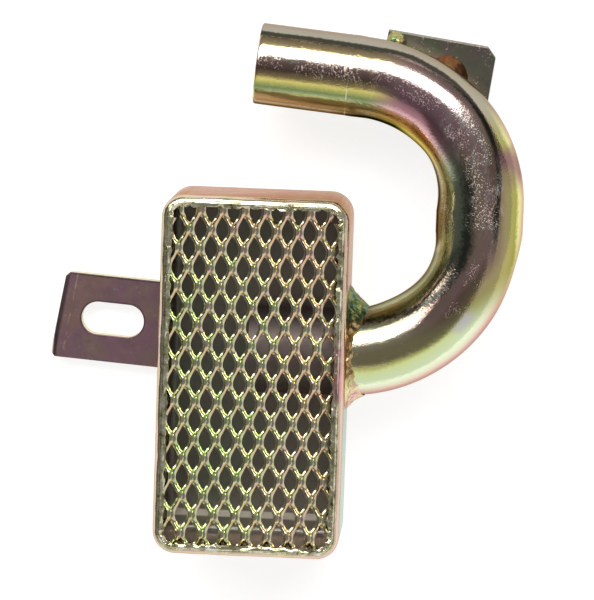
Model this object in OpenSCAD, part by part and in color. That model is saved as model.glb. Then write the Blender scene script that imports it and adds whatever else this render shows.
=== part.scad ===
// Oil pickup: a bent suction tube welded into the side of a screened sheet-steel box.
// Lying on its two brackets: Z up through the screen, Y along the box, X towards the tube's bends.
// The origin is on the underside of the slotted strap, below the middle of the box.

/* [Screen box] */
// Width of the box across its short side
box_w = 40.2; // [38:0.2:46]
// Length of the box along its long side
box_h = 77.5; // [70:0.5:86]
// Depth of the box from its back to the face of its rim
box_d = 25; // [24:0.5:30]
// Thickness of the box sheet
box_wall = 1.1; // [0.9:0.1:1.3]
// Outside radius of the upright corners
box_corner = 5; // [4.4:0.2:6]
// Outside bend radius where the walls turn into the back
back_bend = 2.6; // [2:0.2:3.4]
// Outside bend radius where the walls turn in to the rim
rim_bend = 1.6; // [1.4:0.1:1.8]
// Width of the turned-in rim, from the outside of the wall
rim_lip = 1.9; // [1.8:0.1:3.2]

/* [Screen] */
// Openings across the width of the screen
screen_cols = 8; // [6:1:10]
// Distance along the screen from one row of bonds to the next
row_rise = 4.115; // [3.6:0.005:5]
// How far the rows are shifted along the box
row_shift = 2.6; // [0:0.1:4]
// Width of a strand, across its slope
strand_w = 1; // [0.8:0.02:1.1]
// Thickness of the expanded sheet
strand_t = 0.9; // [0.6:0.05:1]
// Slope of the strands at a bond, against the sheet's plane
bond_tilt = 15; // [10:1:25]
// Slope of the strands halfway between two bonds
strand_tilt = 34; // [28:1:45]
// Length of a bond, where two strands are one
bond_len = 2.2; // [1.6:0.1:2.4]
// Side clearance from the screen to the box walls
screen_gap = 0.4; // [0.35:0.05:0.6]

/* [Tube] */
// Outside diameter of the tube in its lower half
tube_d = 19; // [17:0.5:19]
// Wall thickness of the tube
tube_wall = 1.5; // [1.2:0.1:1.8]
// Outside diameter of the tube in its upper bend
neck_d = 17.7; // [16.4:0.1:18]
// Depth of the step round the tube where the sized leg begins
press_step = 0.1; // [0.06:0.02:0.3]
// Length of the leg from the bend to the step
neck_len = 3.9; // [2:0.1:6]
// Length of the taper at the step
taper_len = 0.6; // [0.4:0.1:1]
// Length of the straight leg beyond the upper bend
press_len = 24.1; // [18:0.1:32]
// Rounding of the sized end's outer edge
press_edge = 0.6; // [0.3:0.1:0.8]
// Centre-line radius of both bends
bend_r = 27.2; // [26.4:0.2:30]
// Slope of the upper leg against the box's short side
leg_slope = 5.3; // [0:0.1:10]
// Straight length between the two bends, along which the tube narrows
bend_gap = 5.2; // [3:0.1:8]
// Height on the box, from its middle, at which the tube goes in
entry_y = 4.75; // [-6:0.25:10]
// How far inside the wall's outer face the lower bend ends
entry_tuck = 0; // [-0.5:0.1:3]
// Length of tube inside the box, from the end of the lower bend
entry_len = 21.1; // [12:0.1:26]
// Clearance round the tube in the wall's hole
hole_gap = 0.15; // [0.1:0.05:0.3]
// Radius to which the bends are flattened on their inside
flat_r = 13; // [12:0.1:14]
// Depth of the flattening inside the upper bend
flat_up = 1; // [0.6:0.1:1.2]
// Depth of the flattening inside the lower bend
flat_low = 1.1; // [0.6:0.1:1.2]
// Angle from the middle of the two bends to the middle of each flattening
flat_at = 34; // [32:1:42]

/* [Tube weld] */
// Leg of the bead on the wall, measured on the inside of the bend
bead_leg = 6.6; // [5:0.1:7.5]
// Leg of the bead on the wall, measured on the outside of the bend
bead_heel = 2.1; // [1.5:0.1:3]
// Length of the bead along the tube
bead_len = 5.8; // [4.5:0.1:6.5]

/* [Slotted strap] */
// Width of the strap
strap_w = 19; // [16:0.5:22]
// Thickness of the strap
strap_t = 3.2; // [2.8:0.1:3.6]
// Turn of the strap against the box's short side
strap_turn = -3.9; // [-8:0.1:0]
// Distance from the box's middle to the slot
slot_x = -32.3; // [-38:0.1:-31]
// Height of the slot on the box, from its middle
slot_y = 8.3; // [4:0.1:12]
// Length of the slot from end to end
slot_len = 13.8; // [10:0.1:15]
// Width of the slot
slot_w = 7.2; // [6.4:0.1:9]
// Length of the strap outside the slot's middle
strap_out = 12.1; // [11.5:0.1:18]
// Length of the strap behind the box, from the slot's middle
strap_in = 47; // [42:0.5:49]
// Slant of the strap's cut end
strap_skew = 5.6; // [0:0.1:8]
// Radius rolled on the strap's cut end
strap_roll = 1.8; // [1:0.1:2.4]
// Size of the strap's clipped corners
strap_clip = 0.9; // [0.5:0.1:2]
// Leg of the beads that hold the strap
strap_bead = 2.2; // [1.6:0.1:2.6]
// Length of the beads that hold the strap
strap_bead_len = 26; // [16:1:28]

/* [Brace plate] */
// Length of the plate
brace_len = 23.8; // [20:0.2:28]
// Width of the plate
brace_w = 17; // [15:0.5:18]
// Thickness of the plate
brace_t = 5.4; // [5.3:0.1:6.4]
// Turn of the plate against the box's short side
brace_turn = -7.8; // [-12:0.2:-4]
// Distance of the plate's middle from the middle of the upper bend, across the box
brace_x = 16.65; // [15.5:0.05:17.5]
// Distance of the plate's middle from the middle of the upper bend, along the box
brace_y = 26.95; // [26:0.05:28]
// Size of the plate's clipped outer corner
brace_clip = 2; // [1:0.1:4]
// Height of the bead on the tube, above the plate
brace_rise = 6; // [4:0.1:7]
// Radius of the bead on the plate
brace_bead = 4.6; // [4:0.1:5]
// Distance of the bead's middle from the tube's centre line
brace_out = 6.1; // [5.6:0.1:6.6]
// Angle round the bend at which the bead sits
brace_at = 55.5; // [54:0.5:58]
// Radius of the tack on the plate's inner corner
tack_r = 2.3; // [2:0.1:2.6]
// Distance of the tack's middle from the tube's centre line
tack_out = 8.1; // [7.6:0.1:8.4]
// Angle round the bend at which the tack sits
tack_at = 77.5; // [76:0.5:78]

/* [Hidden] */
$fn = 96;
tube_r = tube_d / 2;
neck_r = neck_d / 2;
press_r = neck_r - press_step;
bore_r = tube_r - tube_wall;
neck_bore_r = neck_r - tube_wall;
press_bore_r = press_r - tube_wall;
slack = 1;

back_z = strap_t;
rim_z = back_z + box_d;
tube_z = brace_t + neck_r;
wall_x = box_w / 2;
inner_w = box_w - 2 * box_wall;
inner_h = box_h - 2 * box_wall;
inner_corner = box_corner - box_wall;
rim_inner = rim_bend - box_wall;

bend_x = wall_x - entry_tuck;
low_y = entry_y + bend_r;
up_y = low_y + bend_gap;
up_turn = 90 - leg_slope;
tall = 4 * tube_d;

bond_dx = strand_w * cos(bond_tilt);
bond_dz = strand_w * sin(bond_tilt);
skin_dx = strand_t / 2 * sin(bond_tilt);
skin_dz = strand_t / 2 * cos(bond_tilt);
screen_z = rim_z - box_wall - bond_dz - skin_dz;
half_pitch = (inner_w - 2 * screen_gap) / (2 * screen_cols);
screen_half_w = half_pitch * screen_cols;
screen_half_h = inner_h / 2 - rim_inner;
screen_corner = inner_corner - screen_gap;
row_max = ceil(screen_half_h / row_rise) + 1;
last_ribbon = 2 * screen_cols - 1;

bead_base_r = tube_r + (bead_leg + bead_heel) / 2;
bead_y = entry_y + (bead_leg - bead_heel) / 2;
bead_tip_r = bead_base_r - bead_len * (bead_leg + bead_heel) / (2 * bead_heel + bead_leg);

// Upright section with two rounded outer corners, standing on the axis
module rounded_section(w, h, r_low, r_high) {
    translate([0, r_low])
        square([w, h - r_low - r_high]);
    square([w - r_low, h / 2]);
    translate([0, h / 2])
        square([w - r_high, h / 2]);
    intersection() {
        translate([w - r_low, r_low])
            circle(r_low);
        translate([w - r_low, 0])
            square(r_low);
    }
    intersection() {
        translate([w - r_high, h - r_high])
            circle(r_high);
        translate([w - r_high, h - r_high])
            square(r_high);
    }
}

// Section of the sheet: back, wall and turned-in rim, from a corner's axis outwards
module sheet_section() {
    difference() {
        rounded_section(box_corner, box_d, back_bend, rim_bend);
        translate([0, box_wall])
            rounded_section(inner_corner, box_d - 2 * box_wall, back_bend - box_wall, rim_inner);
        translate([-slack, box_d - 2 * box_wall])
            square([slack + box_corner - rim_lip, 3 * box_wall]);
    }
}

// One straight side of the pan, along X, with its outside towards +Y
module pan_side(len) {
    translate([-len / 2, 0, 0])
        rotate([90, 0, 90])
            linear_extrude(len)
                sheet_section();
}

module pan() {
    straight_w = box_w - 2 * box_corner;
    straight_h = box_h - 2 * box_corner;
    for (side = [0, 180]) {
        rotate([0, 0, side])
            translate([0, straight_h / 2, 0])
                pan_side(straight_w);
        rotate([0, 0, side - 90])
            translate([0, straight_w / 2, 0])
                pan_side(straight_h);
        rotate([0, 0, side])
            translate([straight_w / 2, straight_h / 2, 0])
                rotate_extrude(angle = 90)
                    sheet_section();
        rotate([0, 0, side])
            translate([-straight_w / 2, straight_h / 2, 0])
                rotate([0, 0, 90])
                    rotate_extrude(angle = 90)
                        sheet_section();
    }
    translate([-straight_w / 2, -straight_h / 2, 0])
        cube([straight_w, straight_h, box_wall]);
}

module screen_box() {
    color([0.80, 0.66, 0.44])
        difference() {
            translate([0, 0, back_z])
                pan();
            translate([wall_x - box_corner, entry_y, tube_z])
                rotate([0, 90, 0])
                    cylinder(h = box_corner + slack, r = tube_r + hole_gap);
        }
}

// Rows of bonds along the screen, and the farthest point a strand can reach at a place across it
function row_y(k) = row_shift + k * row_rise;
function edge_y(x) = screen_half_h - screen_corner
    + sqrt(max(0, pow(screen_corner, 2) - pow(max(0, x - screen_half_w + screen_corner), 2)));
function line_x(j) = (j - screen_cols) * half_pitch;
function reach(j) = edge_y(max(abs(line_x(j)), abs(line_x(j + 1))));
function left_bond(j, k) = (j + k + screen_cols) % 2 != 0;

// Middle of a ribbon's section at a row: down the slope from the bond line on its left, or up from the one on its right
function middle(j, k) = left_bond(j, k)
    ? [line_x(j) + bond_dx / 2, screen_z - bond_dz / 2]
    : [line_x(j + 1) - bond_dx / 2, screen_z + bond_dz / 2];

// Section of a ribbon: four corners about its middle, leaning by the given slope
function ring(c, y, tilt) = let (
        along = strand_w / 2 * [cos(tilt), -sin(tilt)],
        skin = strand_t / 2 * [sin(tilt), cos(tilt)]
    )
    [for (q = [-along + skin, along + skin, along - skin, -along - skin]) [c[0] + q[0], y, c[1] + q[1]]];

// At a bond the section's inner corners lie on the bond line, so that both ribbons meet there exactly
function bond_ring(j, k, y) = let (
        l = left_bond(j, k) ? [line_x(j), screen_z] : [line_x(j + 1) - bond_dx, screen_z + bond_dz],
        r = left_bond(j, k) ? [line_x(j) + bond_dx, screen_z - bond_dz] : [line_x(j + 1), screen_z]
    )
    [
        [l[0] + skin_dx, y, l[1] + skin_dz],
        [r[0] + skin_dx, y, r[1] + skin_dz],
        [r[0] - skin_dx, y, r[1] - skin_dz],
        [l[0] - skin_dx, y, l[1] - skin_dz]
    ];

// Section part of the way from a row towards the next, flattest halfway
function strand_ring(j, k, way, share) = ring(
    (1 - share) * middle(j, k) + share * middle(j, k + way),
    row_y(k) + way * (bond_len / 2 + share * (row_rise - bond_len)),
    bond_tilt + (strand_tilt - bond_tilt) * (1 - abs(2 * share - 1))
);

// A ribbon holds a row when the whole bond lies inside its reach
function holds(j, k) = j >= 0 && j <= last_ribbon && abs(row_y(k)) + bond_len / 2 < reach(j);
function rows(j) = [for (k = [-row_max : row_max]) if (holds(j, k)) k];

// Share of the way to the next bond at which a ribbon's loose end stops
function end_share(j, k) = min(1, (reach(j) - abs(row_y(k)) - bond_len / 2) / (row_rise - bond_len));

function ribbon_rings(j) = let (
        held = rows(j),
        first = held[0],
        last = held[len(held) - 1],
        low = end_share(j, first),
        high = end_share(j, last)
    )
    concat(
        [strand_ring(j, first, -1, low), strand_ring(j, first, -1, low / 2)],
        [for (k = held, part = k < last ? [0 : 2] : [0 : 1])
            part < 2 ? bond_ring(j, k, row_y(k) + (part - 1 / 2) * bond_len) : strand_ring(j, k, 1, 1 / 2)],
        [strand_ring(j, last, 1, high / 2), strand_ring(j, last, 1, high)]
    );
function ring_count(j) = 3 * len(rows(j)) + 3;
function ribbon_base(j) = j == 0 ? 0 : ribbon_base(j - 1) + 4 * ring_count(j - 1);

// Faces of one ribbon, left open where a bond joins it to the ribbon beside it
function ribbon_faces(j) = let (
        base = ribbon_base(j),
        held = rows(j),
        last = ring_count(j) - 1
    )
    concat(
        [[base, base + 1, base + 2, base + 3]],
        [for (i = [0 : last - 1], s = [0 : 3], half = [0, 1])
            let (
                a = base + 4 * i + s,
                b = base + 4 * i + (s + 1) % 4,
                bond = i >= 2 && i <= last - 3 && (i - 2) % 3 == 0,
                k = held[bond ? (i - 2) / 3 : 0],
                side = left_bond(j, k) ? 3 : 1,
                joined = bond && s == side && holds(side == 1 ? j + 1 : j - 1, k)
            )
            if (!joined) half == 0 ? [b, a, a + 4] : [b, a + 4, b + 4]],
        [[base + 4 * last + 3, base + 4 * last + 2, base + 4 * last + 1, base + 4 * last]]
    );

module screen_mesh() {
    color([0.86, 0.80, 0.52])
        polyhedron(
            points = [for (j = [0 : last_ribbon], r = ribbon_rings(j), p = r) p],
            faces = [for (j = [0 : last_ribbon], f = ribbon_faces(j)) f]
        );
}

// Straight leg of the tube, along +X from the upper bend's start outwards, rooted in the bend
module leg(r_root, r, edge, over) {
    mouth = edge > 0
        ? [[r, press_len - edge], [r - edge / 2, press_len]]
        : [[r, press_len + over]];
    rotate([0, 90, 0])
        rotate_extrude()
            polygon(concat(
                [[0, -slack], [r_root, -slack], [r_root, neck_len], [r, neck_len + taper_len]],
                mouth,
                [[0, press_len + over]]
            ));
}

// Bends and straights of the tube as a solid rod, wider below than above
module rod(r_low, r_high, r_end, edge, over) {
    translate([bend_x, up_y, tube_z]) {
        rotate([0, 0, up_turn])
            translate([bend_r, 0, 0])
                rotate([0, 0, 90])
                    leg((r_high + r_end) / 2, r_end, edge, over);
        rotate_extrude(angle = up_turn)
            translate([bend_r, 0])
                circle(r_high);
    }
    translate([bend_x + bend_r, low_y, tube_z])
        rotate([-90, 0, 0])
            cylinder(h = bend_gap, r1 = r_low, r2 = r_high);
    translate([bend_x, low_y, tube_z])
        rotate([0, 0, -90])
            rotate_extrude(angle = 90)
                translate([bend_r, 0])
                    circle(r_low);
    translate([bend_x, entry_y, tube_z])
        rotate([0, -90, 0])
            cylinder(h = entry_len + over, r = r_low);
}

// Spaces inside the two bends that the flattened walls follow
module flats(extra) {
    translate([bend_x, up_y, tube_z])
        rotate([0, 0, flat_at])
            translate([bend_r - neck_r - flat_r + flat_up, 0, 0])
                cylinder(h = tall, r = flat_r + extra, center = true);
    translate([bend_x, low_y, tube_z])
        rotate([0, 0, -flat_at])
            translate([bend_r - tube_r - flat_r + flat_low, 0, 0])
                cylinder(h = tall, r = flat_r + extra, center = true);
}

module tube_outside() {
    difference() {
        rod(tube_r, neck_r, press_r, press_edge, 0);
        flats(0);
    }
}

module pickup_tube() {
    color([0.74, 0.64, 0.38])
        difference() {
            tube_outside();
            difference() {
                rod(bore_r, neck_bore_r, press_bore_r, 0, slack);
                flats(tube_wall);
            }
        }
}

// Fillet bead round the tube, fuller on the inside of the bend
module tube_weld() {
    color([0.66, 0.56, 0.42])
        difference() {
            intersection() {
                translate([wall_x, bead_y, tube_z])
                    rotate([0, 90, 0])
                        cylinder(h = bead_len, r1 = bead_base_r, r2 = bead_tip_r);
                translate([wall_x - slack, bead_y - 2 * bead_base_r, back_z + rim_bend / 2])
                    cube([bead_len + 2 * slack, 4 * bead_base_r, box_d - 3 * rim_bend / 2]);
            }
            rod(tube_r, neck_r, press_r, 0, 0);
        }
}

// Puts a strap-aligned shape in place, with the slot's middle at its own origin
module on_strap() {
    translate([slot_x, slot_y, 0])
        rotate([0, 0, strap_turn])
            children();
}

module strap_outline() {
    lean = strap_w / 2 * tan(strap_skew);
    polygon([
        [-strap_out + lean + strap_clip, strap_w / 2],
        [-strap_out + lean, strap_w / 2 - strap_clip],
        [-strap_out - lean, -strap_w / 2 + strap_clip],
        [-strap_out - lean + strap_clip, -strap_w / 2],
        [strap_in, -strap_w / 2],
        [strap_in, strap_w / 2]
    ]);
}

module slot() {
    square([slot_len - slot_w, slot_w], center = true);
    for (way = [-1, 1])
        translate([way * (slot_len - slot_w) / 2, 0])
            circle(slot_w / 2);
}

// Side of the strap, with the upper edge of its cut end rolled over
module strap_side() {
    lean = strap_w / 2 * tan(strap_skew);
    start = -strap_out - lean;
    translate([start + strap_roll, 0])
        square([strap_out + strap_in + lean - strap_roll, strap_t]);
    translate([start, 0])
        square([2 * strap_roll, strap_t - strap_roll]);
    translate([start + strap_roll, strap_t - strap_roll])
        circle(strap_roll);
}

module slot_strap() {
    color([0.60, 0.50, 0.46])
        on_strap()
            intersection() {
                linear_extrude(strap_t)
                    difference() {
                        strap_outline();
                        slot();
                    }
                translate([0, strap_w, 0])
                    rotate([90, 0, 0])
                        linear_extrude(2 * strap_w)
                            strap_side();
            }
}

// Bead in the corner between the strap's edge and the box's back
module strap_bead_at(way) {
    on_strap()
        translate([strap_in - strap_bead_len - strap_bead, way * strap_w / 2, 0])
            rotate([90, 0, 90])
                linear_extrude(strap_bead_len)
                    polygon([[0, strap_t], [0, strap_t - strap_bead], [way * strap_bead, strap_t]]);
}

module strap_weld_top() {
    color([0.62, 0.54, 0.42])
        strap_bead_at(1);
}

module strap_weld_bottom() {
    color([0.62, 0.54, 0.42])
        strap_bead_at(-1);
}

module brace_plate() {
    color([0.46, 0.42, 0.34])
        translate([bend_x + brace_x, up_y + brace_y, 0])
            rotate([0, 0, brace_turn])
                linear_extrude(brace_t)
                    polygon([
                        [-brace_len / 2, -brace_w / 2],
                        [brace_len / 2, -brace_w / 2],
                        [brace_len / 2, brace_w / 2 - brace_clip],
                        [brace_len / 2 - brace_clip, brace_w / 2],
                        [-brace_len / 2, brace_w / 2]
                    ]);
}

// Round bead standing on the plate against the tube's outside
module plate_bead(at, out, r) {
    difference() {
        translate([bend_x, up_y, brace_t])
            rotate([0, 0, at])
                translate([bend_r + out, 0, 0])
                    cylinder(h = brace_rise, r1 = r, r2 = r / 2);
        tube_outside();
    }
}

module brace_weld() {
    color([0.52, 0.42, 0.32])
        plate_bead(brace_at, brace_out, brace_bead);
}

module brace_tack() {
    color([0.50, 0.50, 0.34])
        plate_bead(tack_at, tack_out, tack_r);
}

screen_box();
screen_mesh();
pickup_tube();
tube_weld();
slot_strap();
strap_weld_top();
strap_weld_bottom();
brace_plate();
brace_weld();
brace_tack();
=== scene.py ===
import math

import bmesh
import bpy
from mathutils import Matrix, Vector, noise


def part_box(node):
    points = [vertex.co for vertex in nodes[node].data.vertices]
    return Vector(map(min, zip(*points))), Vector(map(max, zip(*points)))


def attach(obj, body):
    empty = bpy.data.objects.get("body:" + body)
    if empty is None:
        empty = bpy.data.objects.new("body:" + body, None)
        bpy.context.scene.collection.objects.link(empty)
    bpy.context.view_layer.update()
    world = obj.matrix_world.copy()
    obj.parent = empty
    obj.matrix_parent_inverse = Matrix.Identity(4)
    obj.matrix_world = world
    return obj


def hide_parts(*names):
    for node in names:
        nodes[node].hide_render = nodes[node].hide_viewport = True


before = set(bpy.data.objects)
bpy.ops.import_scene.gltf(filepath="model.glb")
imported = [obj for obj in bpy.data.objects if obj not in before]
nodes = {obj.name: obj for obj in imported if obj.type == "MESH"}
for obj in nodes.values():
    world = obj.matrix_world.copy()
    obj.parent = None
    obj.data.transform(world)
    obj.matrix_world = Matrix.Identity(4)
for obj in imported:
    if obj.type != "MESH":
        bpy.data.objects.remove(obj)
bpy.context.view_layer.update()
MM = 0.001
PER_MM = 1000.0

# Sizes repeated from the solids, in millimetres
WALL_X = 20.1
BOX_HALF_H = 38.75
BOX_CORNER = 5.0
RIM_Z = 28.2
TUBE_R = 9.5
NECK_R = 8.85
TUBE_WALL = 1.5
TUBE_Z = 14.25
BEND_R = 27.2
BEND_X = 20.1
LOW_Y = 31.95
UP_Y = 37.15
ENTRY_Y = 4.75
ENTRY_END = -1.0
LEG_SLOPE = math.radians(5.3)
LEG_LEN = 24.1
STEP_AT = 3.9
STEP_END = 4.5
SCREEN_Z = 26.4065
HALF_PITCH = 2.325
COLS = 8
ROW_RISE = 4.115
ROW_SHIFT = 2.6
STRAND_W = 1.0
STRAND_T = 0.9
BOND_TILT = math.radians(15)
STRAND_TILT = math.radians(34)
SLOT_AT = (-32.3, 8.3)
SLOT_HALF = 3.3
SLOT_R = 3.6
STRAP_TURN = math.radians(-3.9)
STRAP_SKEW = math.radians(5.6)
STRAP_OUT = 12.1
STRAP_HALF_W = 9.5
LEG_X = BEND_X + BEND_R * math.sin(LEG_SLOPE)
LEG_Y = UP_Y + BEND_R * math.cos(LEG_SLOPE)

# Sizes of what is only drawn, in millimetres
TUBE_MEAN_R = 9.2
STEP_LINE = 4.25
RIM_CUT = 0.8
RIM_CUT_FROM = 25.9
RIM_WAVE_FROM = 25.8
RIM_WAVE_RISE = 1.6
SCREEN_TOP = RIM_Z - 1.12
SCREEN_END_GAP = 1.6
SCREEN_SIDE_GAP = 1.5
RIBBON_STEP = 0.3
RIBBON_LIFT = 0.004
BOND_LAP = 0.15
BOND_HOLD = 0.3
STRAND_ROUND = 0.10
STRAND_SAG = 0.38
BURR = [(0.0, 0.38), (0.24, 0.03), (0.22, 0.0)]
BEAD_SINK = 0.1
BEAD_ROOT = 0.25
BEAD_LOW_Z, BEAD_HIGH_Z = 4.2, 26.5

# Shape of the drawn tube and strands: the power of a round section, the degrees where a bend is flattest
# and over which it is, and how late a strand sags most
ROUND = 2.0
FLAT_AT = 33
FLAT_SPAN = 24
SAG_LATE = 1.4

# The plating seen at a grazing angle, as a linear colour and as display values
GRAZING = (0.62, 0.52, 0.44)
GRAZING_SHOWN = (206, 191, 178)


def smooth(t):
    t = min(1.0, max(0.0, t))
    return t * t * (3 - 2 * t)


def between(table, x):
    """A smooth curve through a short list of (place, value) pairs."""
    if x <= table[0][0]:
        return table[0][1]
    for i, ((x0, v0), (x1, v1)) in enumerate(zip(table, table[1:])):
        if x <= x1:
            before, after = table[max(i - 1, 0)], table[min(i + 2, len(table) - 1)]
            m0 = (v1 - before[1]) / (x1 - before[0]) * (x1 - x0)
            m1 = (after[1] - v0) / (after[0] - x0) * (x1 - x0)
            t = (x - x0) / (x1 - x0)
            u = 1 - t
            ends = v0 * u * u * (1 + 2 * t) + v1 * t * t * (3 - 2 * t)
            return ends + m0 * t * u * u - m1 * t * t * u
    return table[-1][1]


def lin(r, g, b):
    """A colour given as 0 to 255 display values."""
    return tuple(((v / 255 + 0.055) / 1.055) ** 2.4 for v in (r, g, b))


class Graph:
    """Shorthand for the nodes of one material or world."""

    def __init__(self, tree):
        self.tree = tree

    def node(self, kind, **props):
        n = self.tree.nodes.new(kind)
        for key, value in props.items():
            setattr(n, key, value)
        return n

    def feed(self, socket, value):
        """Sets a socket to a value, or links it to another socket."""
        if isinstance(value, bpy.types.NodeSocket):
            self.tree.links.new(value, socket)
        else:
            socket.default_value = value

    def math(self, op, a, b=0.0):
        n = self.node("ShaderNodeMath", operation=op)
        self.feed(n.inputs[0], a)
        self.feed(n.inputs[1], b)
        return n.outputs[0]

    def chain(self, op, values):
        total = values[0]
        for v in values[1:]:
            total = self.math(op, total, v)
        return total

    def add(self, *values):
        return self.chain("ADD", values)

    def mul(self, *values):
        return self.chain("MULTIPLY", values)

    def most(self, *values):
        return self.chain("MAXIMUM", values)

    def sub(self, a, b):
        return self.math("SUBTRACT", a, b)

    def off(self, value, place=0.0):
        """How far a value is from a place, either way."""
        return self.math("ABSOLUTE", self.sub(value, place))

    def hypot(self, a, b):
        return self.math("SQRT", self.add(self.mul(a, a), self.mul(b, b)))

    def dot(self, vec, way):
        n = self.node("ShaderNodeVectorMath", operation="DOT_PRODUCT")
        self.feed(n.inputs[0], vec)
        n.inputs[1].default_value = Vector(way).normalized()
        return n.outputs["Value"]

    def split(self, vec):
        n = self.node("ShaderNodeSeparateXYZ")
        self.feed(n.inputs[0], vec)
        return n.outputs

    def span(self, value, low, high, out_low=0.0, out_high=1.0):
        """A soft step from out_low at low to out_high at high."""
        n = self.node("ShaderNodeMapRange", interpolation_type="SMOOTHSTEP")
        for socket, v in zip(n.inputs, (value, low, high, out_low, out_high)):
            self.feed(socket, v)
        return n.outputs[0]

    def window(self, value, start, full, fade, end):
        """Rises from start to full, and falls again from fade to end."""
        return self.mul(self.span(value, start, full), self.span(value, end, fade))

    def ramp(self, value, stops):
        n = self.node("ShaderNodeValToRGB")
        self.feed(n.inputs[0], value)
        elements = n.color_ramp.elements
        while len(elements) < len(stops):
            elements.new(0.5)
        for e, (place, colour) in zip(elements, stops):
            e.position = place
            e.color = (*lin(*colour), 1.0)
        return n.outputs[0]

    def mix(self, share, a, b):
        n = self.node("ShaderNodeMix", data_type="RGBA")
        self.feed(n.inputs[0], share)
        for socket, value in ((n.inputs[6], a), (n.inputs[7], b)):
            linked = isinstance(value, bpy.types.NodeSocket)
            self.feed(socket, value if linked else (*lin(*value), 1.0))
        return n.outputs[2]


class Plating(Graph):
    """A metal material with its object coordinates at hand."""

    def __init__(self, name):
        self.mat = bpy.data.materials.new(name)
        self.mat.use_nodes = True
        super().__init__(self.mat.node_tree)
        self.at = self.node("ShaderNodeTexCoord").outputs["Object"]

    def in_mm(self, vec):
        return [self.mul(c, PER_MM) for c in self.split(vec)]

    def noise(self, scale, detail=3.0, rough=0.55, distort=0.0, stretch=None):
        """Noise over the object, about 0.5."""
        vec = self.at
        if stretch:
            wide = self.node("ShaderNodeVectorMath", operation="MULTIPLY")
            self.feed(wide.inputs[0], vec)
            wide.inputs[1].default_value = stretch
            vec = wide.outputs["Vector"]
        n = self.node("ShaderNodeTexNoise")
        self.feed(n.inputs["Vector"], vec)
        n.inputs["Scale"].default_value = scale
        n.inputs["Detail"].default_value = detail
        n.inputs["Roughness"].default_value = rough
        n.inputs["Distortion"].default_value = distort
        return n.outputs[0]

    def sway(self, scale, detail=3.0, rough=0.55):
        """Noise over the object, about zero."""
        return self.sub(self.noise(scale, detail, rough), 0.5)

    def bump(self, height, strength, distance_mm, normal=None):
        n = self.node("ShaderNodeBump")
        n.inputs["Strength"].default_value = strength
        n.inputs["Distance"].default_value = distance_mm * MM
        self.feed(n.inputs["Height"], height)
        if normal is not None:
            self.feed(n.inputs["Normal"], normal)
        return n.outputs[0]

    def edge(self, radius_mm):
        n = self.node("ShaderNodeBevel")
        n.samples = 6
        n.inputs["Radius"].default_value = radius_mm * MM
        return n.outputs[0]

    def facing(self, way):
        """How far a face looks one way, from -1 to 1."""
        return self.dot(self.node("ShaderNodeNewGeometry").outputs["Normal"], way)

    def metal(self, colour, rough, normal, grazing=GRAZING):
        """Ends the material; the grazing colour is a linear colour or a socket."""
        shader = self.tree.nodes["Principled BSDF"]
        shader.inputs["Metallic"].default_value = 1.0
        tint = (*grazing, 1.0) if isinstance(grazing, tuple) else grazing
        self.feed(shader.inputs["Specular Tint"], tint)
        self.feed(shader.inputs["Base Color"], colour)
        self.feed(shader.inputs["Roughness"], rough)
        self.feed(shader.inputs["Normal"], normal)
        return self.mat


class TubePlating(Plating):
    """The tube's plating, with the places across the tube and round its bends at hand."""

    def __init__(self, name):
        super().__init__(name)
        self.x, y, _ = self.in_mm(self.at)
        # The part of the tube that is inside the box
        self.inside = self.mul(self.span(self.x, 19.4, 18.8), self.span(y, 17.0, 16.0))
        # Along the upper leg from the end of its bend
        out = self.sub(LEG_X, self.x)
        self.along = self.add(self.mul(out, math.cos(LEG_SLOPE)),
                              self.mul(self.sub(y, LEG_Y), math.sin(LEG_SLOPE)))
        # The upper leg is laid level, so that one rule serves the whole tube
        drop = self.mul(self.most(out, 0.0), math.tan(LEG_SLOPE))
        self.y = self.sub(y, self.mul(drop, self.math("GREATER_THAN", y, UP_Y)))
        vx = self.most(self.sub(self.x, BEND_X), 0.0)
        vy = self.sub(self.y, self.math("MINIMUM", self.most(self.y, LOW_Y), UP_Y))
        # Across the tube from its inner side, -1, to its outer side, +1
        self.q = self.math("DIVIDE", self.sub(self.hypot(vx, vy), BEND_R), TUBE_MEAN_R)
        # Round the bends, from the lower leg at -90 to the upper leg at 90 degrees
        self.turn = self.mul(self.math("ARCTAN2", vy, self.add(vx, 0.01)), math.degrees(1))
        self.wander = self.sway(60.0)
        self.grain = self.sway(1500.0, 3.0, 0.65)

    def across(self, wander, grain):
        """The place across the tube, made uneven."""
        return self.add(self.q, self.mul(self.wander, wander), self.mul(self.grain, grain))

    def round(self, wander):
        """The place round the bends, made uneven."""
        return self.add(self.turn, self.mul(self.wander, wander))


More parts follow.
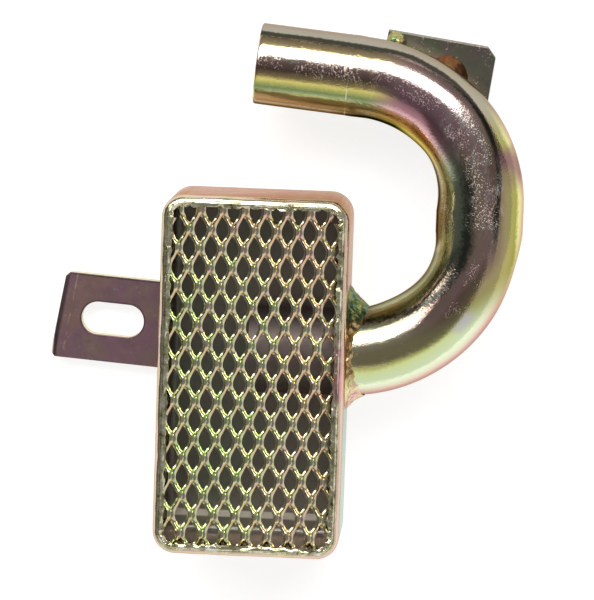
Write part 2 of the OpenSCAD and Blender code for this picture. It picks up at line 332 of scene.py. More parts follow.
def tube_bands(g):
    """Bands along the tube, a set of colours for each stretch of it, which blend round the bends."""
    at = g.add(g.mul(g.across(0.15, 0.10), 0.5), 0.5)
    low = g.ramp(at, [
        (0.00, (120, 118, 112)), (0.05, (170, 190, 186)), (0.10, (190, 208, 200)), (0.16, (160, 174, 150)),
        (0.23, (215, 206, 146)), (0.32, (232, 222, 200)), (0.45, (194, 182, 140)), (0.58, (184, 174, 132)),
        (0.64, (196, 194, 122)), (0.68, (224, 234, 165)), (0.79, (226, 242, 198)), (0.88, (222, 224, 198)),
        (0.95, (230, 186, 178)), (1.00, (220, 148, 152)),
    ])
    shift = g.mul(g.span(g.turn, 0.0, -30.0, 0.0, 0.20), g.span(at, 0.95, 0.62))
    side = g.ramp(g.add(at, shift), [
        (0.00, (125, 114, 98)), (0.06, (150, 146, 120)), (0.11, (222, 224, 196)), (0.16, (188, 196, 166)),
        (0.23, (200, 208, 176)), (0.31, (140, 152, 128)), (0.40, (166, 152, 130)), (0.50, (186, 160, 144)),
        (0.62, (184, 152, 146)), (0.70, (150, 124, 112)), (0.76, (150, 132, 104)), (0.82, (168, 154, 112)),
        (0.88, (164, 157, 94)), (0.93, (156, 155, 78)), (0.965, (226, 226, 160)), (1.00, (240, 214, 172)),
    ])
    warm = g.ramp(at, [
        (0.00, (130, 116, 80)), (0.05, (206, 206, 130)), (0.10, (240, 228, 140)), (0.17, (250, 200, 160)),
        (0.235, (255, 208, 212)), (0.29, (186, 136, 142)), (0.37, (146, 108, 116)), (0.47, (176, 140, 150)),
        (0.56, (194, 158, 164)), (0.68, (225, 208, 202)), (0.80, (202, 168, 158)), (0.86, (176, 156, 146)),
        (0.915, (166, 160, 142)), (1.00, (172, 166, 146)),
    ])
    high = g.ramp(at, [
        (0.00, (110, 96, 88)), (0.06, (196, 178, 150)), (0.13, (226, 224, 190)), (0.20, (196, 210, 160)),
        (0.27, (132, 148, 96)), (0.32, (190, 190, 110)), (0.36, (238, 222, 130)), (0.42, (205, 180, 130)),
        (0.48, (126, 104, 92)), (0.56, (168, 138, 132)), (0.66, (228, 215, 200)), (0.76, (216, 196, 146)),
        (0.82, (180, 158, 122)), (0.91, (164, 160, 146)), (1.00, (184, 172, 162)),
    ])
    colour = g.mix(g.span(g.add(g.turn, g.mul(g.q, -30.0)), -60.0, -34.0), low, side)
    colour = g.mix(g.span(g.turn, 20.0, 42.0), colour, warm)
    return g.mix(g.span(g.turn, 66.0, 86.0), colour, high)


def tube_painted_dark_reflections(g, colour):
    """Two painted reflections of the dark room, drawn as dark lines along the tube."""
    # Painted reflection of the dark room: a narrow line on the outer side, nearer to the middle on the
    # straight than on the upper bend
    narrow_dark_reflection = g.sub(g.across(0.10, 0.06), g.span(g.turn, -15.0, 50.0, 0.36, 0.73))
    begun = g.span(g.add(g.y, g.mul(g.wander, 16.0)), UP_Y - 16.0, UP_Y - 2.0)
    narrow_dark_reflection = g.mul(g.window(narrow_dark_reflection, -0.10, -0.02, 0.03, 0.07), begun)
    colour = g.mix(g.mul(narrow_dark_reflection, 0.95), colour, (50, 52, 45))
    # Painted reflection of the dark room: a broad, grainy line from the inner half of the straight to the
    # inner edge of the lower leg
    broad_dark_reflection = g.sub(g.across(0.20, 0.30), g.span(g.turn, -88.0, 6.0, -0.84, -0.24))
    half_width = g.span(g.turn, -60.0, 0.0, 0.07, 0.20)
    broad_dark_reflection = g.mul(g.span(g.off(broad_dark_reflection), half_width, 0.02), g.span(g.turn, 34.0, 10.0))
    return g.mix(g.mul(broad_dark_reflection, 0.9), colour, (60, 68, 64))


def tube_stains(g, colour):
    # Purple on the outside where the upper bend ends
    near = g.span(g.off(g.round(30.0), 17.0), 9.0, 1.0)
    colour = g.mix(g.mul(near, g.span(g.q, 0.45, 0.75), 0.75), colour, (132, 84, 112))
    # Lavender on the lower bend
    near = g.mul(g.span(g.off(g.round(40.0), -38.0), 9.0, 1.0), g.span(g.off(g.q, 0.42), 0.22, 0.02))
    colour = g.mix(g.mul(near, 0.7), colour, (200, 196, 212))
    # A painted highlight: a pale line along the step of the press-fit end, on its lower side
    step = g.span(g.off(g.along, STEP_LINE), 0.20, 0.06)
    step = g.mul(step, g.span(g.q, 0.1, -0.2), g.span(g.turn, 50.0, 60.0), 0.6)
    return g.mix(step, colour, (244, 240, 210))


def tube_wear(g, colour):
    """Rubbed places with pale crossing scratches, and where they are."""
    upper = g.mul(g.span(g.y, UP_Y - 9.0, UP_Y + 1.0), g.span(g.turn, 52.0, 36.0),
                  g.window(g.q, -0.35, -0.1, 0.4, 0.62))
    lower = g.mul(g.window(g.turn, -48.0, -34.0, -16.0, -4.0), g.window(g.q, -0.2, 0.02, 0.25, 0.45), 0.7)
    faint = g.mul(g.window(g.q, -0.25, -0.05, 0.2, 0.40), g.span(g.turn, 30.0, 55.0, 0.3, 0.75))
    zone = g.mul(g.most(upper, lower, faint), g.span(g.inside, 1.0, 0.0))
    haze = g.mul(upper, g.span(g.noise(420.0, 6.0, 0.8, stretch=(1.0, 0.4, 1.0)), 0.48, 0.62))
    colour = g.mix(g.mul(haze, 0.8), colour, (220, 214, 206))
    strokes = g.span(g.off(g.noise(760.0, 2.0, 0.55, 0.7, (1.0, 0.34, 1.0)), 0.5), 0.028, 0.006)
    broken = g.span(g.noise(1300.0, 2.0), 0.42, 0.52)
    dots = g.span(g.noise(3600.0, 2.0, 0.6), 0.62, 0.68)
    patch = g.noise(210.0, 4.0, 0.65)
    strokes = g.mul(strokes, broken, g.span(g.add(patch, g.mul(zone, 0.12)), 0.56, 0.68))
    dots = g.mul(dots, g.span(g.add(patch, g.mul(zone, 0.10)), 0.48, 0.62))
    worn = g.mul(g.most(strokes, dots), zone)
    return g.mix(g.mul(worn, 0.7), colour, (222, 212, 196)), worn


def tube_material():
    g = TubePlating("tube_plating")
    colour = tube_painted_dark_reflections(g, tube_bands(g))
    # Painted shade: a dark lower edge where the upper leg meets its bend
    edge = g.mul(g.span(g.q, -0.74, -0.88), g.span(g.x, 13.0, 22.0), g.span(g.turn, 52.0, 66.0))
    colour = g.mix(g.mul(edge, 0.8), colour, (84, 80, 66))
    colour, worn = tube_wear(g, tube_stains(g, colour))
    colour = g.mix(g.mul(g.inside, 0.95), colour, (132, 118, 116))
    rough = g.add(g.mul(g.noise(420.0), 0.10), 0.07, g.mul(worn, 0.45), g.mul(g.inside, 0.42))
    spread = g.span(g.noise(160.0, 2.0), 0.35, 0.65, 0.4, 1.0)
    pits = g.bump(g.mul(g.noise(2200.0, 2.0, 0.6), spread), 1.0, 0.045)
    drawn = g.bump(g.noise(420.0, 2.0, 0.6), 0.22, 0.10, pits)
    normal = g.bump(worn, 0.5, 0.05, drawn)
    # Painted shade: the reflections on the inner side, towards the crook, are darkened to brown
    tint = g.mix(g.span(g.q, -0.66, -0.90), GRAZING_SHOWN, (134, 104, 84))
    # The same painted shade of the dark lower edge, also in its reflections
    tint = g.mix(edge, tint, (84, 78, 66))
    return g.metal(colour, rough, normal, tint)


def box_material():
    g = Plating("box_plating")
    x, y, z = g.in_mm(g.at)
    flow = g.noise(55.0, 3.0, 0.55, 0.4)
    wall = g.ramp(flow, [
        (0.25, (176, 174, 148)), (0.42, (204, 184, 148)), (0.55, (204, 172, 142)), (0.75, (186, 186, 142)),
    ])
    # The right wall is pale below the tube
    pale = g.ramp(flow, [(0.30, (178, 206, 192)), (0.55, (200, 216, 200)), (0.75, (214, 205, 190))])
    cool = g.mul(g.span(x, 19.4, 19.8), g.span(y, -2.0, -9.0))
    wall = g.mix(cool, wall, pale)
    end = g.ramp(g.add(flow, g.mul(x, 0.006)), [
        (0.25, (200, 160, 132)), (0.50, (196, 156, 126)), (0.75, (184, 162, 118)),
    ])
    wall = g.mix(g.span(y, 37.2, 38.2), wall, end)
    # In from the outline of the box, in millimetres
    cx = g.most(g.sub(g.off(x), WALL_X - BOX_CORNER), 0.0)
    cy = g.most(g.sub(g.off(y), BOX_HALF_H - BOX_CORNER), 0.0)
    deep = g.sub(BOX_CORNER, g.hypot(cx, cy))
    rim = g.ramp(g.noise(130.0, 3.0, 0.6), [
        (0.30, (196, 190, 154)), (0.46, (212, 200, 170)), (0.58, (222, 198, 180)), (0.74, (205, 205, 165)),
    ])
    rim = g.mix(g.mul(g.span(x, 12.0, 19.0), 0.5), rim, (226, 190, 180))
    # The folded inner part of the rim, ragged, with a pink smear beside the tube
    crimp = g.ramp(g.noise(520.0, 3.0, 0.65), [
        (0.32, (126, 120, 100)), (0.42, (200, 194, 152)), (0.54, (232, 226, 188)), (0.66, (252, 248, 230)),
    ])
    rim = g.mix(g.span(g.add(deep, g.mul(g.sway(420.0, 2.0), 1.2)), 0.85, 1.15), rim, crimp)
    smear = g.mul(g.span(x, 16.5, 18.0), g.span(g.off(y, 2.0), 9.0, 4.0))
    rim = g.mix(g.mul(smear, g.span(g.noise(300.0), 0.38, 0.52)), rim, (226, 178, 174))
    colour = g.mix(g.span(z, 26.0, 27.0), wall, rim)
    # The inside, with walls painted pale to lift the shade on them, and a painted highlight: a bright strip
    # near its lower end, where the fold would catch the light
    inside = g.ramp(g.noise(70.0, 2.0), [(0.35, (146, 147, 136)), (0.65, (154, 143, 136))])
    # Painted light: the inner walls are made pale, lifting their shade
    inside = g.mix(g.span(deep, 1.9, 1.4), inside, (205, 202, 196))
    painted_glint_strip = g.mul(g.window(y, -34.6, -34.2, -33.1, -32.7), g.span(z, 9.0, 6.0))
    inside = g.mix(painted_glint_strip, inside, (255, 250, 240))
    within = g.mul(g.span(deep, 0.6, 1.0), g.window(z, 3.4, 4.0, 26.2, 26.6))
    colour = g.mix(within, colour, inside)
    rough = g.add(g.mul(g.noise(400.0), 0.16), 0.14, g.mul(within, 0.14))
    pits = g.bump(g.noise(900.0, 3.0, 0.6), 0.35, 0.08)
    folded = g.mul(g.span(deep, 1.2, 1.6), g.span(z, 26.4, 27.0))
    pits = g.bump(g.mul(g.noise(340.0, 2.0, 0.5), folded), 0.8, 0.55, pits)
    normal = g.bump(g.noise(170.0, 2.0, 0.5), 0.3, 0.5, pits)
    tint = g.mix(g.mul(cool, g.span(z, 27.0, 26.0)), (220, 188, 170), (214, 228, 222))
    return g.metal(colour, rough, normal, tint)


def screen_material():
    g = Plating("screen_plating")
    x, y, _ = g.split(g.at)
    tint = g.add(g.noise(45.0, 3.0, 0.6), g.mul(x, 9.0), g.mul(y, 3.0))
    colour = g.ramp(tint, [
        (0.20, (208, 232, 160)), (0.40, (226, 234, 172)), (0.52, (226, 222, 180)),
        (0.64, (238, 218, 168)), (0.85, (238, 208, 178)),
    ])
    local = g.noise(420.0, 2.0, 0.5)
    colour = g.mix(g.span(local, 0.50, 0.68, 0.0, 0.5), colour, (214, 172, 182))
    colour = g.mix(g.span(local, 0.46, 0.30, 0.0, 0.5), colour, (156, 204, 130))
    # Partly painted light and shade: faces that look down to the right are a paler pink, as lit sides, and
    # those that look the other way a darker green, as shaded sides
    painted_light_facing = g.facing((0.50, -0.85, 0.20))
    colour = g.mix(g.span(painted_light_facing, 0.42, 0.62, 0.0, 0.6), colour, (240, 198, 180))
    colour = g.mix(g.span(painted_light_facing, -0.30, -0.50, 0.0, 0.8), colour, (140, 182, 116))
    # A painted highlight: the cut sides are a pale cream, for the bright line they show
    cut = g.facing((-0.80, -0.45, 0.40))
    colour = g.mix(g.span(cut, 0.55, 0.80, 0.0, 0.8), colour, (248, 240, 200))
    # The bonds, the flattest places, take a mix of green and pink of their own
    flat = g.facing((0.26, 0.0, 0.966))
    bond = g.ramp(g.noise(60.0, 3.0, 0.6), [
        (0.36, (176, 194, 160)), (0.50, (196, 168, 174)), (0.64, (186, 184, 156)),
    ])
    colour = g.mix(g.span(flat, 0.975, 0.995, 0.0, 0.6), colour, bond)
    rough = g.add(g.mul(g.noise(600.0), 0.14), 0.12)
    normal = g.bump(g.noise(1300.0, 2.0, 0.5), 0.3, 0.05)
    return g.metal(colour, rough, normal)


def strap_border(g, colour):
    """Cut sides painted pale, a painted highlight, with a dark line inside the strap's outline and a scored
    line near its end.
    """
    side = g.span(g.facing((0.0, 0.0, 1.0)), 0.8, 0.4)
    x, y, _ = g.in_mm(g.node("ShaderNodeNewGeometry").outputs["Position"])
    x = g.sub(x, SLOT_AT[0])
    y = g.sub(y, SLOT_AT[1])
    along = g.add(g.mul(x, math.cos(STRAP_TURN)), g.mul(y, math.sin(STRAP_TURN)))
    across = g.add(g.mul(x, -math.sin(STRAP_TURN)), g.mul(y, math.cos(STRAP_TURN)))
    from_end = g.add(along, STRAP_OUT, g.mul(across, -math.tan(STRAP_SKEW)))
    ragged = g.mul(g.sway(900.0, 2.0), 0.3)
    top = g.span(g.add(across, ragged), STRAP_HALF_W - 0.55, STRAP_HALF_W - 0.25)
    low = g.span(g.add(across, ragged), 0.3 - STRAP_HALF_W, 0.1 - STRAP_HALF_W, 0.0, 0.6)
    end = g.span(g.add(from_end, ragged), 1.3, 0.7, 0.0, 0.8)
    from_slot = g.sub(g.hypot(g.most(g.sub(g.off(along), SLOT_HALF), 0.0), across), SLOT_R)
    slot = g.span(g.add(from_slot, ragged), 0.55, 0.15, 0.0, 0.7)
    colour = g.mix(g.mul(g.most(top, slot, low, end), 0.85), colour, (70, 58, 66))
    scored = g.span(g.off(from_end, 2.6), 0.24, 0.08)
    scored = g.mul(scored, g.span(g.noise(500.0, 2.0), 0.45, 0.6))
    colour = g.mix(g.mul(scored, 0.8), colour, (240, 200, 180))
    # Painted highlight: the cut sides are pale cream, in their colour and in their reflections
    colour = g.mix(side, colour, (232, 228, 204))
    return colour, g.mix(side, GRAZING_SHOWN, (240, 236, 218))


def strip_material(name, stops, specks, border=None):
    g = Plating(name)
    colour = g.ramp(g.noise(70.0, 4.0, 0.6, 0.3), stops)
    speck = g.mul(g.span(g.noise(1300.0, 2.0, 0.7), 0.61, 0.66), g.span(g.noise(200.0), 0.42, 0.55), specks)
    colour = g.mix(speck, colour, (240, 235, 225))
    grazing = GRAZING
    if border:
        colour, grazing = border(g, colour)
    rough = g.add(g.mul(g.noise(500.0), 0.16), 0.22)
    pits = g.bump(g.noise(1400.0, 3.0, 0.6), 0.25, 0.04, g.edge(0.45))
    normal = g.bump(g.noise(120.0, 2.0), 0.15, 0.4, pits)
    return g.metal(colour, rough, normal, grazing)


def weld_material(name, stops):
    g = Plating(name)
    colour = g.ramp(g.noise(160.0, 3.0, 0.6, 0.5), stops)
    rough = g.add(g.mul(g.noise(700.0), 0.2), 0.2)
    normal = g.bump(g.noise(1100.0, 3.0, 0.6), 0.35, 0.08)
    return g.metal(colour, rough, normal)


def tube_bead_material():
    """The bead round the tube: green inside the bend, brown in front, pale below."""
    g = Plating("tube_bead_plating")
    y = g.split(g.at)[1]
    grain = g.noise(480.0, 4.0, 0.65)
    heel = g.ramp(grain, [
        (0.32, (62, 92, 80)), (0.46, (112, 146, 122)), (0.56, (150, 160, 106)), (0.68, (214, 196, 132)),
    ])
    front = g.ramp(grain, [(0.32, (120, 98, 72)), (0.48, (186, 156, 106)), (0.64, (220, 190, 150))])
    under = g.ramp(g.noise(180.0, 3.0, 0.6), [
        (0.36, (214, 222, 160)), (0.50, (228, 216, 170)), (0.64, (228, 186, 178)),
    ])
    colour = g.mix(g.span(y, 11.0 * MM, 14.0 * MM), front, heel)
    colour = g.mix(g.span(y, 1.5 * MM, -2.5 * MM), colour, under)
    rough = g.add(g.mul(g.noise(700.0), 0.2), 0.16)
    normal = g.bump(g.noise(900.0, 3.0, 0.6), 0.5, 0.10)
    return g.metal(colour, rough, normal)


def new_piece(name, mesh, mat, node, sharp_deg):
    """Puts a finished mesh in the place of a solid."""
    for poly in mesh.polygons:
        poly.use_smooth = True
    mesh.set_sharp_from_angle(angle=math.radians(sharp_deg))
    mesh.materials.clear()
    mesh.materials.append(mat)
    obj = bpy.data.objects.new(name, mesh)
    bpy.context.collection.objects.link(obj)
    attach(obj, "root")
    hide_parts(node)


def mesh_from(name, verts, faces):
    mesh = bpy.data.meshes.new(name)
    mesh.from_pydata([(x * MM, y * MM, z * MM) for x, y, z in verts], [], faces)
    mesh.update()
    return mesh


def remeshed(mesh, voxel_mm):
    """The mesh fused into one skin of small squares, a little smoothed."""
    obj = bpy.data.objects.new("raw", mesh)
    bpy.context.collection.objects.link(obj)
    skin = obj.modifiers.new("skin", "REMESH")
    skin.mode = "VOXEL"
    skin.voxel_size = voxel_mm * MM
    soft = obj.modifiers.new("soft", "SMOOTH")
    soft.factor = 0.5
    soft.iterations = 2
    fine = bpy.data.meshes.new_from_object(obj.evaluated_get(bpy.context.evaluated_depsgraph_get()))
    bpy.data.objects.remove(obj)
    return fine


# Reach of the tube's wall outwards and inwards round the bends, by degrees from the straight between them
OUT_UP = [(0, 9.45), (12, 9.5), (33, 9.3), (45, 8.95), (66, 8.5), (84, 8.6)]
IN_UP = [(0, 9.2), (16, 8.6), (33, 8.2), (51, 8.6), (70, 8.8), (84, 8.75)]
OUT_LOW = [(0, 9.45), (12, 8.85), (30, 8.95), (53, 9.0), (81, 9.25), (90, 9.35)]
IN_LOW = [(0, 9.3), (13, 8.85), (30, 8.75), (54, 9.5), (67, 9.7), (90, 9.5)]
# Radius of the upper leg, by millimetres from its bend
LEG_R = [(0, 8.82), (STEP_AT, 8.78), (STEP_END, 8.72)]
# Rings in each stretch of the tube, and points in a ring
UP_RINGS, GAP_RINGS, LOW_RINGS, ENTRY_RINGS = 68, 6, 72, 24
RING_POINTS = 96


def bend_ring(deg, side, y, reach_out, reach_in, half, square):
    """A ring of the upper bend, side 1, or of the lower one, side -1."""
    a = side * math.radians(deg)
    flat = ROUND + square * smooth(1 - abs(deg - FLAT_AT) / FLAT_SPAN)
    return (BEND_X + BEND_R * math.cos(a), y + BEND_R * math.sin(a), math.cos(a), math.sin(a),
            between(reach_out, deg), between(reach_in, deg), half, flat)


def tube_rings():
    """Rings along the tube: place, outward direction, reach outwards, inwards and up, squareness inside."""
    rings = []
    away = (math.sin(LEG_SLOPE), math.cos(LEG_SLOPE))
    along = (-math.cos(LEG_SLOPE), math.sin(LEG_SLOPE))
    # Places along the upper leg, and how far the wall is cut back there
    mouth = [(LEG_LEN, 0.32), (LEG_LEN - 0.12, 0.12), (LEG_LEN - 0.35, 0.0)]
    sized = [(LEG_LEN - 0.9 - 0.6 * i, 0.0) for i in range(31)]
    step = [(4.6, 0.0), (4.45, 0.0), (4.3, 0.03), (4.15, 0.03), (4.0, 0.0)]
    neck = [(t, 0.0) for t in (3.4, 2.6, 1.8, 1.0, 0.4)]
    for t, cut in mouth + sized + step + neck:
        r = between(LEG_R, t) - cut
        share = smooth(t / 4.0)
        out = r * share + OUT_UP[-1][1] * (1 - share)
        inn = r * share + IN_UP[-1][1] * (1 - share)
        rings.append((LEG_X + along[0] * t, LEG_Y + along[1] * t, *away, out, inn, r, ROUND))
    top = 90 - math.degrees(LEG_SLOPE)
    for i in range(UP_RINGS + 1):
        rings.append(bend_ring(top * (1 - i / UP_RINGS), 1, UP_Y, OUT_UP, IN_UP, NECK_R, 0.7))
    for i in range(1, GAP_RINGS):
        share = i / GAP_RINGS
        rings.append((BEND_X + BEND_R, UP_Y + (LOW_Y - UP_Y) * share, 1.0, 0.0,
                      OUT_LOW[0][1], IN_LOW[0][1], NECK_R + (TUBE_R - NECK_R) * share, ROUND))
    for i in range(LOW_RINGS + 1):
        rings.append(bend_ring(90 * i / LOW_RINGS, -1, LOW_Y, OUT_LOW, IN_LOW, TUBE_R, 0.5))
    for i in range(1, ENTRY_RINGS + 1):
        x = BEND_X + (ENTRY_END - BEND_X) * i / ENTRY_RINGS
        rings.append((x, ENTRY_Y, 0.0, -1.0, TUBE_R - 0.1 * smooth(i / 6), TUBE_R, TUBE_R, ROUND))
    return rings


def tube_mesh():
    """The tube's outer skin from mouth to inlet, and its bore back again."""
    rings = tube_rings()
    inner = [(*ring[:4], *(reach - TUBE_WALL for reach in ring[4:7]), ring[7]) for ring in rings]
    skins = rings + inner[::-1]
    verts = []
    faces = []
    for cx, cy, ux, uy, out, inn, half, flat in skins:
        for k in range(RING_POINTS):
            a = 2 * math.pi * k / RING_POINTS
            c, s = math.cos(a), math.sin(a)
            power = 2 / flat if c < 0 else 1.0
            u = out * c if c >= 0 else -inn * abs(c) ** power
            z = half * math.copysign(abs(s) ** power, s)
            verts.append((cx + ux * u, cy + uy * u, TUBE_Z + z))
    for i in range(len(skins)):
        here, there = i * RING_POINTS, (i + 1) % len(skins) * RING_POINTS
        for k in range(RING_POINTS):
            n = (k + 1) % RING_POINTS
            faces.append((here + k, here + n, there + n, there + k))
    return mesh_from("tube", verts, faces)


def inset(x, y):
    """Distance in from the box's outline, and the direction out of it."""
    hx, hy = WALL_X - BOX_CORNER, BOX_HALF_H - BOX_CORNER
    dx, dy = max(abs(x) - hx, 0.0), max(abs(y) - hy, 0.0)
    if dx and dy:
        far = math.hypot(dx, dy)
        return BOX_CORNER - far, math.copysign(dx / far, x), math.copysign(dy / far, y)
    if WALL_X - abs(x) < BOX_HALF_H - abs(y):
        return WALL_X - abs(x), math.copysign(1.0, x), 0.0
    return BOX_HALF_H - abs(y), 0.0, math.copysign(1.0, y)


def pan_mesh():
    """The sheet-metal box, its rim cut fine and left wavy from being folded over the screen."""
    bm = bmesh.new()
    bm.from_mesh(nodes["screen_box"].data)
    bmesh.ops.remove_doubles(bm, verts=bm.verts, dist=1e-6)
    for axis, start, count in ((0, -19.6, 50), (1, -38.0, 96)):
        for i in range(count):
            faces = [f for f in bm.faces if max(v.co.z for v in f.verts) > RIM_CUT_FROM * MM]
            geom = list({e for f in faces for e in f.edges}) + faces
            point, way = [0.0, 0.0, 0.0], [0.0, 0.0, 0.0]
            point[axis], way[axis] = (RIM_CUT * i + start) * MM, 1.0
            bmesh.ops.bisect_plane(bm, geom=geom, dist=1e-8, plane_co=point, plane_no=way)
    for v in bm.verts:
        x, y, z = v.co / MM
        share = smooth((z - RIM_WAVE_FROM) / RIM_WAVE_RISE)
        if not share:
            continue
        deep, out_x, out_y = inset(x, y)
        lip = smooth((deep - 0.9) / 0.8)
        p = Vector((x, y, z))
        broad = noise.noise(p * 0.16 + Vector((3.1, 0.0, 0.0)))
        fine = noise.fractal(p * 0.55, 0.8, 2.0, 3)
        ragged = noise.fractal(Vector((x, y, 0.0)) * 0.9 + Vector((7.7, 1.3, 0.0)), 0.7, 2.0, 3)
        pull = -share * 0.12 * (1.0 + broad) + share * 0.10 * min(fine, 0.0) + lip * (0.50 * ragged - 0.40)
        sink = share * 0.10 * (1.0 + fine) + lip * 0.26 * (1.0 + 1.4 * ragged)
        v.co.x = (x + out_x * pull) * MM
        v.co.y = (y + out_y * pull) * MM
        v.co.z = min(z - sink, RIM_Z) * MM
    mesh = bpy.data.meshes.new("pan")
    bm.to_mesh(mesh)
    bm.free()
    return mesh


def strand_section():
    """A strand's section, as offsets across and through it: rounded, with a burr under its left, cut side."""
    half_w, half_t = STRAND_W / 2, STRAND_T / 2
    points = []
    for cx, cy, start in ((1, -1, 270), (1, 1, 0), (-1, 1, 90)):
        for step in (0, 45, 90):
            a = math.radians(start + step)
            points.append((cx * (half_w - STRAND_ROUND) + STRAND_ROUND * math.cos(a),
                           cy * (half_t - STRAND_ROUND) + STRAND_ROUND * math.sin(a)))
    return points + [(-half_w - out, up - half_t) for out, up in BURR]


def screen_mesh():
    """Sixteen twisted ribbons of slit sheet, pulled apart into pointed openings, coplanar at the bonds."""
    section = strand_section()
    n = len(section)
    verts = []
    faces = []
    half_h = BOX_HALF_H - SCREEN_END_GAP
    half_w = WALL_X - SCREEN_SIDE_GAP
    corner = BOX_CORNER - SCREEN_SIDE_GAP
    lean = STRAND_W / 2 - BOND_LAP
    lean_x, lean_z = lean * math.cos(BOND_TILT), lean * math.sin(BOND_TILT)
    hold = BOND_HOLD / ROW_RISE
    for j in range(2 * COLS):
        left = (j - COLS) * HALF_PITCH
        right = left + HALF_PITCH
        over = max(0.0, max(abs(left), abs(right)) - (half_w - corner))
        reach = half_h - corner + math.sqrt(max(0.0, corner ** 2 - over ** 2))
        steps = int(2 * reach / RIBBON_STEP)
        base = len(verts)
        lift = RIBBON_LIFT * (j % 2)
        at_left = (left + lean_x, SCREEN_Z - lean_z)
        at_right = (right - lean_x, SCREEN_Z + lean_z)
        for i in range(steps + 1):
            y = -reach + 2 * reach * i / steps
            t = (y - ROW_SHIFT) / ROW_RISE
            k = math.floor(t)
            part = min(1.0, max(0.0, (t - k - hold) / (1 - 2 * hold)))
            share = 0.5 - 0.5 * math.cos(math.pi * part)
            sag = STRAND_SAG * math.sin(math.pi * part ** SAG_LATE) ** 2
            from_left = (j + k + COLS) % 2 != 0
            a, b = (at_left, at_right) if from_left else (at_right, at_left)
            cx = a[0] + (b[0] - a[0]) * share
            cz = a[1] + (b[1] - a[1]) * share + lift - sag
            tilt = BOND_TILT + (STRAND_TILT - BOND_TILT) * math.sin(math.pi * part)
            for across, through in section:
                px = cx + across * math.cos(tilt) + through * math.sin(tilt)
                pz = cz - across * math.sin(tilt) + through * math.cos(tilt)
                verts.append((px, y, min(pz, SCREEN_TOP)))
            if i:
                for s in range(n):
                    a0 = base + (i - 1) * n + s
                    a1 = base + (i - 1) * n + (s + 1) % n
                    faces.append((a0, a1, a1 + n, a0 + n))
        last = base + steps * n
        faces.append(tuple(range(base, base + n))[::-1])
        faces.append(tuple(range(last, last + n)))
    return mesh_from("strands", verts, faces)


def fillet_mesh():
    """The bead between the tube and the box: tall inside the bend, narrow in front, uneven all round."""
    around, across = 260, 14
    row = across + 1
    verts = []
    faces = []
    for k in range(around):
        a = 2 * math.pi * k / around
        up, side = math.sin(a), math.cos(a)
        along = between([(-1, 4.0), (-0.4, 2.0), (0.4, 2.0), (1, 5.4)], side)
        rise = between([(-1, 3.0), (-0.4, 2.2), (0.4, 2.4), (1, 5.4)], side)
        toe = noise.fractal(Vector((side * 4, up * 4, 5.0)), 0.9, 2.0, 3)
        for i in range(row):
            s = i / across
            belly = 4 * s * (1 - s)
            lump = noise.fractal(Vector((side * 5, up * 5, s * 2)), 0.8, 2.0, 4)
            swell = belly * (0.40 * lump - 0.30)
            x = WALL_X + (along + 0.4 * toe) * (1 - s) + swell - BEAD_SINK * (s == 1)
            rho = TUBE_R - BEAD_ROOT + (rise + BEAD_ROOT) * s + swell
            z = min(max(TUBE_Z + up * rho, BEAD_LOW_Z), BEAD_HIGH_Z)
            verts.append((max(x, WALL_X - BEAD_SINK), ENTRY_Y + side * rho, z))
    for k in range(around):
        n = (k + 1) % around
        for i in range(across):
            faces.append((k * row + i, n * row + i, n * row + i + 1, k * row + i + 1))
    return mesh_from("fillet", verts, faces)


def bead_mesh(node, voxel_mm, lump_mm, size_mm):
    """A weld bead: the fillet's own shape, roughened into lumps."""
    fine = remeshed(nodes[node].data.copy(), voxel_mm)
    low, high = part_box(node)
    bm = bmesh.new()
    bm.from_mesh(fine)
    bm.normal_update()
    for v in bm.verts:
        lump = noise.fractal(v.co / (size_mm * MM), 0.8, 2.0, 3)
        v.co += v.normal * (lump * lump_mm * MM)
        for axis in range(3):
            v.co[axis] = min(max(v.co[axis], low[axis]), high[axis])
    bm.to_mesh(fine)
    bm.free()
    return fine


def dress(node, mat):
    nodes[node].data.materials.clear()
    nodes[node].data.materials.append(mat)


dress("slot_strap", strip_material("strap_plating", [
    (0.28, (196, 158, 146)), (0.45, (188, 152, 152)), (0.56, (184, 144, 158)), (0.74, (188, 166, 138)),
], 0.2, strap_border))
dress("brace_plate", strip_material("brace_plating", [
    (0.28, (132, 136, 108)), (0.45, (142, 126, 120)), (0.58, (128, 132, 112)), (0.74, (144, 134, 128)),
], 0.9))
new_piece("tube", tube_mesh(), tube_material(), "pickup_tube", 38)
new_piece("pan", pan_mesh(), box_material(), "screen_box", 40)
new_piece("screen", screen_mesh(), screen_material(), "screen_mesh", 30)
plain_bead = weld_material("bead_plating", [
    (0.30, (150, 155, 115)), (0.46, (185, 165, 125)), (0.56, (200, 165, 140)), (0.70, (190, 150, 140)),
])
brown_bead = weld_material("brace_bead_plating", [
    (0.30, (128, 112, 72)), (0.46, (140, 98, 72)), (0.56, (150, 106, 84)), (0.70, (165, 148, 100)),
])
green_bead = weld_material("tack_plating", [
    (0.30, (84, 112, 84)), (0.46, (136, 168, 116)), (0.56, (190, 188, 126)), (0.70, (212, 186, 150)),
])
new_piece("tube_bead", fillet_mesh(), tube_bead_material(), "tube_weld", 60)
for node, voxel, lump, size, mat in (
    ("brace_weld", 0.30, 0.20, 3.0, brown_bead),
    ("brace_tack", 0.25, 0.35, 1.4, green_bead),
    ("strap_weld_top", 0.30, 0.25, 1.6, plain_bead),
    ("strap_weld_bottom", 0.30, 0.25, 1.6, plain_bead),
):
    new_piece(node + "_bead", bead_mesh(node, voxel, lump, size), mat, node, 70)

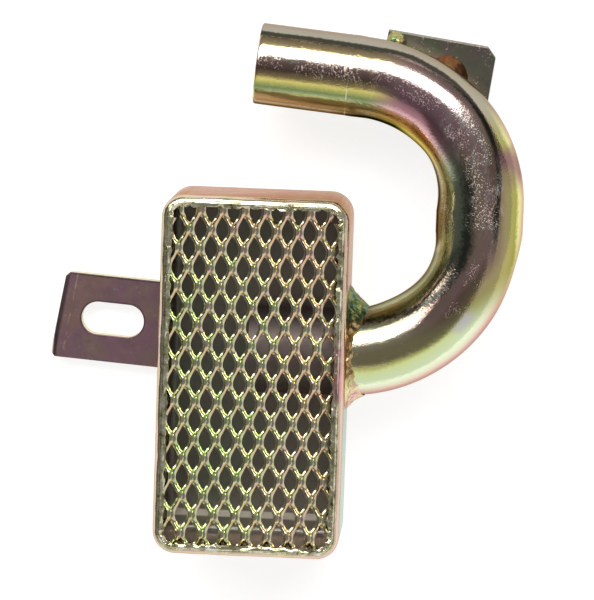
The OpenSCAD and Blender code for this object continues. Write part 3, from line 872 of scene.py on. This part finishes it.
# A grey floor that takes the shadows, with a glow that makes it white to the camera and in the metal
FLOOR_HALF = 4.0
FLOOR_DROP = 0.0002
FLOOR_GLOW = 0.78
FLOOR_GREY = 0.40
floor_mesh = bpy.data.meshes.new("floor")
corners = [(x * FLOOR_HALF, y * FLOOR_HALF, 0.0) for x, y in ((-1, -1), (1, -1), (1, 1), (-1, 1))]
floor_mesh.from_pydata(corners, [], [(0, 1, 2, 3)])
floor = bpy.data.objects.new("floor", floor_mesh)
bpy.context.collection.objects.link(floor)
floor.location.z = -FLOOR_DROP
white = bpy.data.materials.new("floor_white")
white.use_nodes = True
white.node_tree.nodes.clear()
g = Graph(white.node_tree)
ray = g.node("ShaderNodeLightPath").outputs
seen = g.most(ray["Is Camera Ray"], ray["Is Glossy Ray"], ray["Is Transmission Ray"])
glow = g.node("ShaderNodeEmission")
g.feed(glow.inputs["Strength"], g.mul(seen, FLOOR_GLOW))
cover = g.node("ShaderNodeBsdfDiffuse")
cover.inputs["Color"].default_value = (FLOOR_GREY, FLOOR_GREY, FLOOR_GREY, 1)
both = g.node("ShaderNodeAddShader")
g.feed(both.inputs[0], cover.outputs[0])
g.feed(both.inputs[1], glow.outputs[0])
g.feed(g.node("ShaderNodeOutputMaterial").inputs["Surface"], both.outputs[0])
floor_mesh.materials.append(white)

# A dim room, darkest on the left, with a long softbox above the picture, a paler back wall behind it, and
# white screens below the picture and to its right
ROOM_DARK, ROOM_LIGHT = 0.09, 0.25
SCREEN_GLOW = 0.55
BACK_GLOW = 0.22
SOFTBOX_GLOW = 4.4
world = bpy.data.worlds.new("studio")
bpy.context.scene.world = world
world.use_nodes = True
g = Graph(world.node_tree)
way = g.node("ShaderNodeTexCoord").outputs["Generated"]
up = g.split(way)[2]
room = g.span(g.dot(way, (0.8, -0.3, 0.5)), -0.9, 0.9, ROOM_DARK, ROOM_LIGHT)
below = g.span(g.dot(way, (-0.1, -0.99, 0.1)), 0.56, 0.68)
right = g.span(g.dot(way, (0.857, -0.504, 0.1)), 0.66, 0.76)
screens = g.mul(g.most(below, right), SCREEN_GLOW)
back = g.span(g.dot(way, (0.0, 0.85, 0.5)), 0.80, 0.95, 0.0, BACK_GLOW)
level = g.math("SQRT", g.most(g.sub(1.0, g.mul(up, up)), 0.01))
round_by = g.math("DIVIDE", g.dot(way, (-0.15, 0.989, 0.0)), level)
softbox = g.mul(g.window(up, 0.50, 0.53, 0.855, 0.885), g.span(round_by, 0.54, 0.62), SOFTBOX_GLOW)
background = world.node_tree.nodes["Background"]
g.feed(background.inputs["Strength"], g.add(room, screens, back, softbox))
background.inputs["Color"].default_value = (1, 1, 1, 1)

camera_data = bpy.data.cameras.new("camera")
camera_data.lens = 213.605
camera_data.sensor_width = 36
camera = bpy.data.objects.new("camera", camera_data)
bpy.context.collection.objects.link(camera)
camera.location = (0.047352, 0.108074, 0.777279)
camera.rotation_euler = [math.radians(v) for v in (-6.7961, 3.1367, 1.9732)]
bpy.context.scene.camera = camera
bpy.context.scene.view_settings.view_transform = "Standard"
